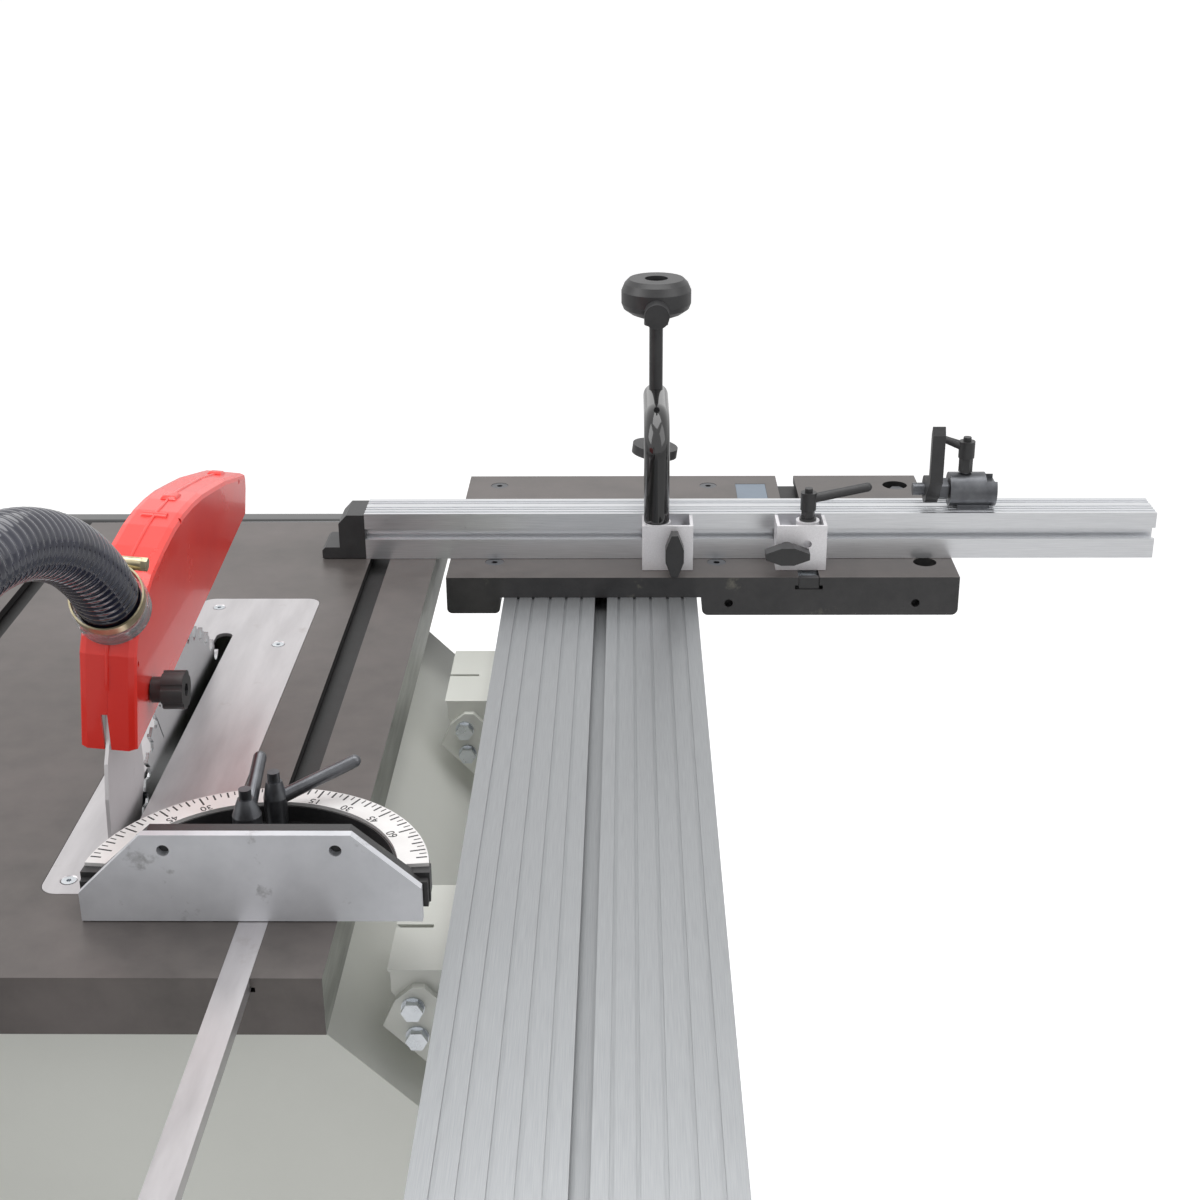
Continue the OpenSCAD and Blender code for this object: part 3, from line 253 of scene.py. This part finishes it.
# %% [markdown]
# ## The saw's finishes
# Cast iron that has been ground is brown-grey and half matt. The insert, the blade and the
# gauge's face are bright steel. The beam is matt anodised aluminium, the fence is brighter
# and shows its drawing lines. The guard is glossy red plastic.

# %% Metals
ground_iron = surface("ground_iron", (0.115, 0.103, 0.097), (0.085, 0.076, 0.072), 0.38, 40,
                      (1, 1, 1), 0.07, 0.12, 2600, 0.0002, metal=0.35)
stained(ground_iron, (0.15, 0.13, 0.125), 5, (0.45, 0.75))
milled_edge = surface("milled_edge", (0.33, 0.34, 0.31), (0.17, 0.175, 0.155), 0.42, 30,
                      (1, 0.6, 5), 0.1, 0.25, 240, 0.0004, metal=0.6)
bright_steel = surface("bright_steel", (0.62, 0.60, 0.61), (0.50, 0.48, 0.49), 0.34, 9,
                       (6, 1, 1), 0.07, 0.06, 900, 0.0002, metal=0.85)
stained(bright_steel, (0.42, 0.38, 0.37), 26, (0.62, 0.8))
polished = surface("polished_blade", (0.55, 0.56, 0.57), (0.40, 0.41, 0.42), 0.24, 14,
                   (1, 1, 1), 0.05, 0.05, 700, 0.0002, metal=1.0, Anisotropic=0.6)
galvanised = surface("etched_steel", (0.66, 0.67, 0.70), (0.56, 0.57, 0.60), 0.45, 30,
                     (1, 1, 1), 0.08, 0.1, 500, 0.0002, metal=0.45)
stained(galvanised, (0.30, 0.30, 0.31), 34, (0.60, 0.72))
anodised = surface("anodised_beam", (0.36, 0.37, 0.38), (0.30, 0.31, 0.32), 0.36, 60,
                   (30, 0.5, 30), 0.04, 0.08, 260, 0.0002, metal=0.75)
drawn_alu = surface("drawn_fence", (0.76, 0.77, 0.79), (0.64, 0.65, 0.67), 0.30, 60,
                    (0.6, 30, 30), 0.06, 0.08, 300, 0.0002, metal=0.9)
block_alu = surface("sawn_block", (0.80, 0.79, 0.81), (0.70, 0.69, 0.71), 0.42, 50,
                    (20, 1, 20), 0.05, 0.06, 300, 0.0002, metal=0.5)
zinc = surface("zinc_plate", (0.74, 0.77, 0.80), (0.55, 0.58, 0.61), 0.28, 60,
               (1, 1, 1), 0.06, 0.08, 700, 0.0002, metal=0.95)
gold_zinc = surface("yellow_zinc", (0.66, 0.60, 0.42), (0.44, 0.37, 0.22), 0.30, 120,
                    (1, 1, 1), 0.08, 0.1, 900, 0.0002, metal=0.9)
gun_metal = surface("gun_metal", (0.14, 0.145, 0.155), (0.09, 0.092, 0.10), 0.33, 90,
                    (1, 1, 1), 0.06, 0.25, 1400, 0.0003, metal=0.85)
print("metals made")

# %% Paints and plastics
cream = surface("cream_paint", (0.74, 0.75, 0.70), (0.70, 0.71, 0.66), 0.42, 6,
                (1, 1, 1), 0.04, 0.16, 700, 0.0003)
iron_paint = surface("rough_black_paint", (0.030, 0.029, 0.030), (0.016, 0.016, 0.017), 0.42, 50,
                     (1, 1, 1), 0.1, 0.3, 500, 0.0005, coat=0.1)
stained(iron_paint, (0.11, 0.105, 0.085), 22, (0.60, 0.70))
gloss_black = surface("gloss_black", (0.012, 0.012, 0.013), (0.008, 0.008, 0.008), 0.12, 40,
                      (1, 1, 1), 0.04, 0.05, 300, 0.0003, coat=0.5)
satin_black = surface("satin_black", (0.028, 0.028, 0.029), (0.018, 0.018, 0.019), 0.40, 70,
                      (1, 1, 1), 0.08, 0.25, 1300, 0.0003)
guard_red = surface("guard_red", (0.78, 0.030, 0.018), (0.72, 0.022, 0.014), 0.26, 14,
                    (1, 1, 1), 0.06, 0.04, 60, 0.0006, coat=0.25)
rubber = surface("rubber", (0.022, 0.022, 0.022), (0.014, 0.014, 0.014), 0.62, 60,
                 (1, 1, 1), 0.06, 0.3, 900, 0.0003)
enamel = surface("grey_enamel", (0.16, 0.18, 0.19), (0.13, 0.145, 0.155), 0.38, 12,
                 (1, 1, 1), 0.05, 0.15, 500, 0.0004)
green = surface("button_green", (0.03, 0.22, 0.07), (0.025, 0.18, 0.055), 0.3, 30,
                (1, 1, 1), 0.05, 0.05, 300, 0.0003)
blue_grey = surface("inlay_blue_grey", (0.16, 0.20, 0.25), (0.13, 0.165, 0.21), 0.35, 30,
                    (1, 1, 1), 0.05, 0.05, 300, 0.0003)
band_white = surface("scale_white", (0.80, 0.79, 0.78), (0.68, 0.66, 0.65), 0.32, 25,
                     (1, 1, 1), 0.06, 0.05, 400, 0.0002, metal=0.2)
hose_skin = surface("hose_plastic", (0.010, 0.012, 0.030), (0.006, 0.007, 0.018), 0.13, 30,
                    (1, 1, 1), 0.04, 0.05, 300, 0.0003, coat=0.6)
clear_cuff = surface("clear_cuff", (0.80, 0.82, 0.84), (0.72, 0.74, 0.76), 0.16, 40,
                     (1, 1, 1), 0.05, 0.08, 300, 0.0003, Transmission_Weight=0.85, IOR=1.45)
print("paints and plastics made:", len(bpy.data.materials))

# %% [markdown]
# ## Making the hose in three lengths
# The guard rises and tilts with the blade, but the outlet stays on the cabinet. The hose has
# to bend with both, so it is made in three lengths that meet rib to rib. The list pairs each
# length with the two bodies it would bend between: the guard and the lifting carriage, that and
# the tilting carriage, and that and the machine; the lengths are not attached to these bodies.

# %% Ribs as one spiral
RIB_PITCH = hose_length / 118
RIB_DEPTH = 1.5


def ribbed(s, angle):
    """The hose's radius: a round-topped spiral rib, fading out at both ends."""
    wave = 0.5 + 0.5 * math.cos(2 * math.pi * s / RIB_PITCH - angle)
    fade = min(1.0, max(0.0, min(s, hose_length - s) / 14))
    return HOSE_R - RIB_DEPTH * fade * (1 - wave ** 0.6)


CUTS = [0, hose_length * 0.35, hose_length * 0.62, hose_length]
LENGTHS = [("hose_guard_end", "guard", "lift_frame", "guard_hose_exit"),
           ("hose_middle", "lift_frame", "tilt_frame", None),
           ("hose_outlet_end", "tilt_frame", "machine", None)]
for (name, body_a, body_b, _), start, stop in zip(LENGTHS, CUTS, CUTS[1:]):
    steps = np.linspace(start, stop, int((stop - start) / RIB_PITCH * 8) + 1)
    verts, faces = tube(steps, hose_line, hose_along, ribbed, 40)
    piece = add_mesh(name, verts, faces, hose_skin)
    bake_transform(piece)
    print(name, round(stop - start), "mm,", len(faces), "faces")
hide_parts("dust_hose")

# %% [markdown]
# ## Finishes and soft edges on the saw's own solids
# Most of the saw's solids have the right shape already. Each gets its finish, and a small
# bevel modifier, because a real casting or folded sheet has no knife edge, and the thin
# bright line along a bevel is what makes metal look like metal.

# %% One finish and one edge width for each solid
LOOKS = {
    "cabinet": (cream, 1.2), "cabinet_door": (cream, 1.2), "beam_brackets": (cream, 0.8),
    "feet": (rubber, 0.6), "door_pins": (zinc, 0.3), "main_table": (ground_iron, 0.5),
    "table_insert": (bright_steel, 0.3), "machine_screws": (zinc, 0.25), "rip_rail": (gloss_black, 0.8),
    "dust_outlet": (satin_black, 0.6), "switch_box": (satin_black, 1.0), "start_button": (green, 0.8),
    "stop_button": (guard_red, 1.0), "fixed_rail": (anodised, 0.4), "ball_cages": (zinc, 0.2),
    "beam": (anodised, 0.25), "beam_end_caps": (satin_black, 0.6), "crosscut_table": (ground_iron, 0.5),
    "crosscut_screws": (gun_metal, 0.25), "scale_inlay": (blue_grey, 0.2), "trunnions": (enamel, 1.2),
    "tilt_carriage": (enamel, 1.2), "tilt_wheel": (satin_black, 0.8), "lift_carriage": (enamel, 1.2),
    "height_wheel": (satin_black, 0.8), "motor": (enamel, 0.5), "motor_pulley": (drawn_alu, 0.3),
    "drive_belt": (rubber, 0.4), "arbor_bearings": (bright_steel, 0.4), "arbor": (bright_steel, 0.3),
    "blade_flanges": (bright_steel, 0.4), "saw_blade": (polished, 0.1), "riving_knife": (bright_steel, 0.25),
    "knife_clamp": (zinc, 0.4), "guard_left": (guard_red, 1.5), "guard_right": (guard_red, 1.5),
    "guard_knob": (satin_black, 0.5), "hose_collar": (clear_cuff, 0.4), "band_clamp": (gold_zinc, 0.2),
    "slot_nut": (zinc, 0.4), "clamp_block_2": (block_alu, 0.35), "index_lever": (satin_black, 0.5),
    "wing_knob_2": (satin_black, 1.2), "fence": (drawn_alu, 0.25), "fence_shoe": (satin_black, 0.6),
    "clamp_block_1": (block_alu, 0.35), "wing_knob_1": (satin_black, 1.2), "holddown_arm": (gloss_black, 0.5),
    "holddown_spindle": (satin_black, 0.8), "holddown_pad": (satin_black, 0.8), "stop_body": (gun_metal, 0.6),
    "stop_flag": (satin_black, 0.4), "stop_lever": (satin_black, 0.5), "gauge_bar": (bright_steel, 0.4),
    "gauge_head": (iron_paint, 1.0), "gauge_scale": (band_white, 0.3), "gauge_face": (galvanised, 0.5),
    "gauge_lever_1": (gun_metal, 0.5), "gauge_lever_2": (gun_metal, 0.5),
}


def dress(name, mat, edge):
    """Gives a solid its finish, a narrow bevel and smooth shading across its round faces."""
    solid = nodes[name]
    solid.data.materials.clear()
    solid.data.materials.append(mat)
    solid.data.shade_smooth()
    bevel = solid.modifiers.new("soft_edges", "BEVEL")
    bevel.width, bevel.segments, bevel.limit_method = edge / 1000, 2, "ANGLE"
    bevel.angle_limit = math.radians(32)
    bevel.use_clamp_overlap = True
    even = solid.modifiers.new("even_shading", "WEIGHTED_NORMAL")
    even.keep_sharp = True
    solid.data.set_sharp_from_angle(angle=math.radians(32))


for name, (mat, edge) in LOOKS.items():
    dress(name, mat, edge)
print(len(LOOKS), "solids dressed; left:", sorted(set(nodes) - set(LOOKS)))

# %% [markdown]
# ## Cast and ground faces
# A casting is ground only where something slides on it. The table's top is ground and its edge
# is milled; the insides of its slots and the faces under its top are near-black, as painted shade.
# A face's finish follows from where it is and which way it looks, so no face is picked by hand.

# %% A finish for each side of a casting
# Near-black finish for slot insides and faces under the table's top: painted shade, not the iron's own colour.
slot_painted_shade = surface("painted_shade_slot", (0.012, 0.011, 0.011), (0.006, 0.006, 0.006), 0.5, 60,
                    (1, 1, 1), 0.08, 0.2, 600, 0.0003)


def by_face(name, extra, rule):
    """Gives a solid more finishes. rule(centre in mm, normal) says which one a face takes."""
    solid = nodes[name]
    for mat in extra:
        solid.data.materials.append(mat)
    counts = {}
    for face in solid.data.polygons:
        centre = (face.center.x * 1000 + MID_X, face.center.y * 1000 + MID_Y, face.center.z * 1000 - TABLE_H)
        face.material_index = rule(centre, face.normal)
        counts[face.material_index] = counts.get(face.material_index, 0) + 1
    print(name, "faces by finish:", counts)


def table_side(centre, normal):
    """0 ground top, 1 milled edge, 2 near-black painted shade in slots and under the top."""
    x, y, z = centre
    if abs(normal.z) < 0.5 and (x > 165.5 or y < -355.5 or y > 459.5 or x < -384.5):
        return 1 if x > 165.5 else 0
    # Faces below the top take the near-black painted shade.
    return 2 if z < -0.3 else 0


def crosscut_side(centre, normal):
    """0 ground top, 1 rough painted sides, 2 near-black painted shade in slots."""
    x, y, z = centre
    if z > -0.4:
        return 0
    outside = x < 181 or x > 659 or y < 293 or y > 587
    return 1 if outside or z < -20 else 2


# The third finish on both tables is the near-black painted shade for recesses.
by_face("main_table", [milled_edge, slot_painted_shade], table_side)
by_face("crosscut_table", [iron_paint, slot_painted_shade], crosscut_side)

# %% [markdown]
# ## The guard's seam and lugs
# The guard is moulded in two halves. Along the crest they meet in a low ridge, and two pads
# over the joining screws stand a little higher than the band.

# %% Ridge and pads on the guard
LEAN = math.radians(5.6)
CREST = [(-191.5, 100), (-191.5, 140), (-187, 151), (-179, 160), (-163, 172), (-143, 181), (-112, 187),
         (-80, 190.5), (-51, 191), (-20, 188.5), (12, 184), (55, 175), (96, 166), (180, 143)]


def lean(x, y, z):
    """A point of the upright guard, turned about its lower edge to the guard's lean."""
    up = z - 70
    return (x * math.cos(LEAN) + up * math.sin(LEAN), y, 70 - x * math.sin(LEAN) + up * math.cos(LEAN))


def on_crest(s, x, out):
    """A point at a length along the crest, to one side of its middle and above its surface."""
    y, z = (float(np.interp(s, crest_along, crest[:, k])) for k in (1, 2))
    y2, z2 = (float(np.interp(s + 1, crest_along, crest[:, k])) for k in (1, 2))
    y1, z1 = (float(np.interp(s - 1, crest_along, crest[:, k])) for k in (1, 2))
    size = math.hypot(y2 - y1, z2 - z1)
    return lean(x, y - out * (z2 - z1) / size, z + out * (y2 - y1) / size)


def swept(name, starts, section, mat, fade=3.0):
    """A bar along the crest whose section is (x, height) points, lower at both ends."""
    verts, faces, n = [], [], len(section)
    for s in starts:
        rise = min(1.0, 0.15 + min(s - starts[0], starts[-1] - s) / fade)
        verts += [on_crest(s, x, h * rise if h > 0 else h) for x, h in section]
    for i in range(len(starts) - 1):
        for k in range(n):
            m = (k + 1) % n
            faces.append((i * n + k, i * n + m, (i + 1) * n + m, (i + 1) * n + k))
    faces += [tuple(range(n))[::-1], tuple(range((len(starts) - 1) * n, len(starts) * n))]
    obj = add_mesh(name, verts, faces, mat)
    obj.data.set_sharp_from_angle(angle=math.radians(50))
    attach(obj, "guard")
    return obj


crest, crest_along = smooth_line([(0, y, z) for y, z in CREST], 12)
ridge_section = [(-1.3, -1), (-1.1, 0.5), (-0.5, 1.0), (0.5, 1.0), (1.1, 0.5), (1.3, -1)]
swept("guard_ridge", list(np.linspace(14, crest_along[-1] - 6, 160)), ridge_section, guard_red, 6)
PAD_LENGTH, PAD_RISE = 20, 2.4
pad_section = [(-5.6, -1.5), (-5.4, 1.4), (-4.2, PAD_RISE), (4.2, PAD_RISE), (5.4, 1.4), (5.6, -1.5)]
for i, middle in enumerate([crest_along[-1] * 0.55, crest_along[-1] * 0.93]):
    swept(f"guard_pad_{i + 1}", list(np.linspace(middle - PAD_LENGTH / 2, middle + PAD_LENGTH / 2, 16)),
          pad_section, guard_red, 4)
print("ridge and pads on the guard, crest", round(crest_along[-1]), "mm")

# %% [markdown]
# ## The gauge's scale
# A mitre gauge has a line for each degree step on its rim, longer every five and longest at
# the fifteens, which carry their number. Lines and figures are thin raised prints.

# %% Lines and figures on the scale
PIVOT = (112.5, -283)
SCALE_TOP, PRINT_UP = 30.0, 0.12
print_black = surface("print_black", (0.012, 0.012, 0.013), (0.008, 0.008, 0.009), 0.45, 80,
                      (1, 1, 1), 0.05, 0.05, 600, 0.0001)


def on_scale(r, degrees, z):
    """A point of the scale at a radius and an angle from straight ahead."""
    a = math.radians(degrees)
    return (PIVOT[0] + r * math.sin(a), PIVOT[1] + r * math.cos(a), z)


verts, faces = [], []
for degree in np.arange(-80, 80.1, 2.5):
    inner = 100.5 if degree % 15 == 0 else 103.5 if degree % 5 == 0 else 106.0
    half = 0.42 if degree % 5 else 0.62
    corners = [(inner, -half), (110.6, -half), (110.6, half), (inner, half)]
    first = len(verts)
    for z in (SCALE_TOP - 0.1, SCALE_TOP + PRINT_UP):
        verts += [on_scale(r, degree + math.degrees(w / r), z) for r, w in corners]
    faces += [tuple(first + k for k in face) for face in
              [(0, 1, 2, 3), (7, 6, 5, 4), (0, 4, 5, 1), (1, 5, 6, 2), (2, 6, 7, 3), (3, 7, 4, 0)]]
lines = add_mesh("scale_lines", verts, faces, print_black, smooth=False)
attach(lines, "gauge")
for degree in range(-60, 61, 15):
    face = bpy.data.curves.new("figure", "FONT")
    face.body, face.size, face.extrude = str(abs(degree)), 0.0085, PRINT_UP / 2000
    face.align_x, face.align_y = "CENTER", "CENTER"
    temporary = bpy.data.objects.new("figure", face)
    shape = bpy.data.meshes.new_from_object(temporary)
    a = math.radians(degree)
    inward = Vector((-math.sin(a), -math.cos(a), 0))
    turn = Matrix((inward.cross(Vector((0, 0, 1))), inward, (0, 0, 1))).transposed().to_4x4()
    shape.transform(Matrix.Translation(at(*on_scale(95.6, degree, SCALE_TOP + PRINT_UP / 2))) @ turn)
    shape.materials.clear()
    shape.materials.append(print_black)
    bpy.data.objects.remove(temporary)
    bpy.data.curves.remove(face)
    figure = bpy.data.objects.new(f"scale_figure_{degree + 60}", shape)
    bpy.context.scene.collection.objects.link(figure)
    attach(figure, "gauge")
print("scale printed:", len(faces) // 6, "lines and 9 figures")

# %% [markdown]
# ## The studio
# A pale floor and soft light from above and the left. The world gives even light, and shows
# as plain white to the camera and in reflections, so metal looks as it would on a white sweep.

# %% Floor, light and world
floor_mesh = bpy.data.meshes.new("floor")
FLOOR = 90
floor_mesh.from_pydata([(-FLOOR, -FLOOR, 0), (FLOOR, -FLOOR, 0), (FLOOR, FLOOR, 0), (-FLOOR, FLOOR, 0)],
                       [], [(0, 1, 2, 3)])
floor = bpy.data.objects.new("floor", floor_mesh)
bpy.context.scene.collection.objects.link(floor)
floor_mat = surface("floor_white", (0.90, 0.90, 0.90), (0.88, 0.88, 0.88), 0.7, 2, (1, 1, 1), 0.05, 0.02)
floor_mesh.materials.append(floor_mat)
glow = floor_mat.node_tree
shader = glow.nodes["Principled BSDF"]
shader.inputs["Emission Color"].default_value = (1, 1, 1, 1)
looked_at = node(glow, "ShaderNodeLightPath")
lift = node(glow, "ShaderNodeMath", operation="MULTIPLY")
lift.inputs[1].default_value = 0.42
glow.links.new(looked_at.outputs["Is Camera Ray"], lift.inputs[0])
glow.links.new(lift.outputs[0], shader.inputs["Emission Strength"])

world = bpy.data.worlds.new("studio")
bpy.context.scene.world = world
world.use_nodes = True
sky = world.node_tree
backdrop = sky.nodes["Background"]
backdrop.inputs["Color"].default_value = (1, 1, 1, 1)
rays = node(sky, "ShaderNodeLightPath")
seen = node(sky, "ShaderNodeMath", operation="MAXIMUM")
seen_too = node(sky, "ShaderNodeMath", operation="MAXIMUM")
level_node = node(sky, "ShaderNodeMapRange")
level_node.inputs["To Min"].default_value, level_node.inputs["To Max"].default_value = 0.62, 1.0
sky.links.new(rays.outputs["Is Camera Ray"], seen.inputs[0])
sky.links.new(rays.outputs["Is Glossy Ray"], seen.inputs[1])
sky.links.new(seen.outputs[0], seen_too.inputs[0])
sky.links.new(rays.outputs["Is Transmission Ray"], seen_too.inputs[1])
sky.links.new(seen_too.outputs[0], level_node.inputs["Value"])
sky.links.new(level_node.outputs["Result"], backdrop.inputs["Strength"])


def soft_light(name, place, target, size, watts):
    """A square area light that looks at a point."""
    lamp = bpy.data.lights.new(name, "AREA")
    lamp.size, lamp.energy = size, watts
    obj = bpy.data.objects.new(name, lamp)
    bpy.context.scene.collection.objects.link(obj)
    obj.location = place
    obj.rotation_euler = (Vector(target) - Vector(place)).to_track_quat("-Z", "Y").to_euler()


table_middle = at(150, 100, 0)
soft_light("light_above", at(300, 300, 1900), table_middle, 1.6, 24)
soft_light("light_left", at(-1500, -300, 1300), table_middle, 1.4, 18)
soft_light("light_right", at(1800, -500, 1200), table_middle, 1.4, 10)
bpy.context.scene.view_settings.view_transform = "Standard"
print("studio ready")
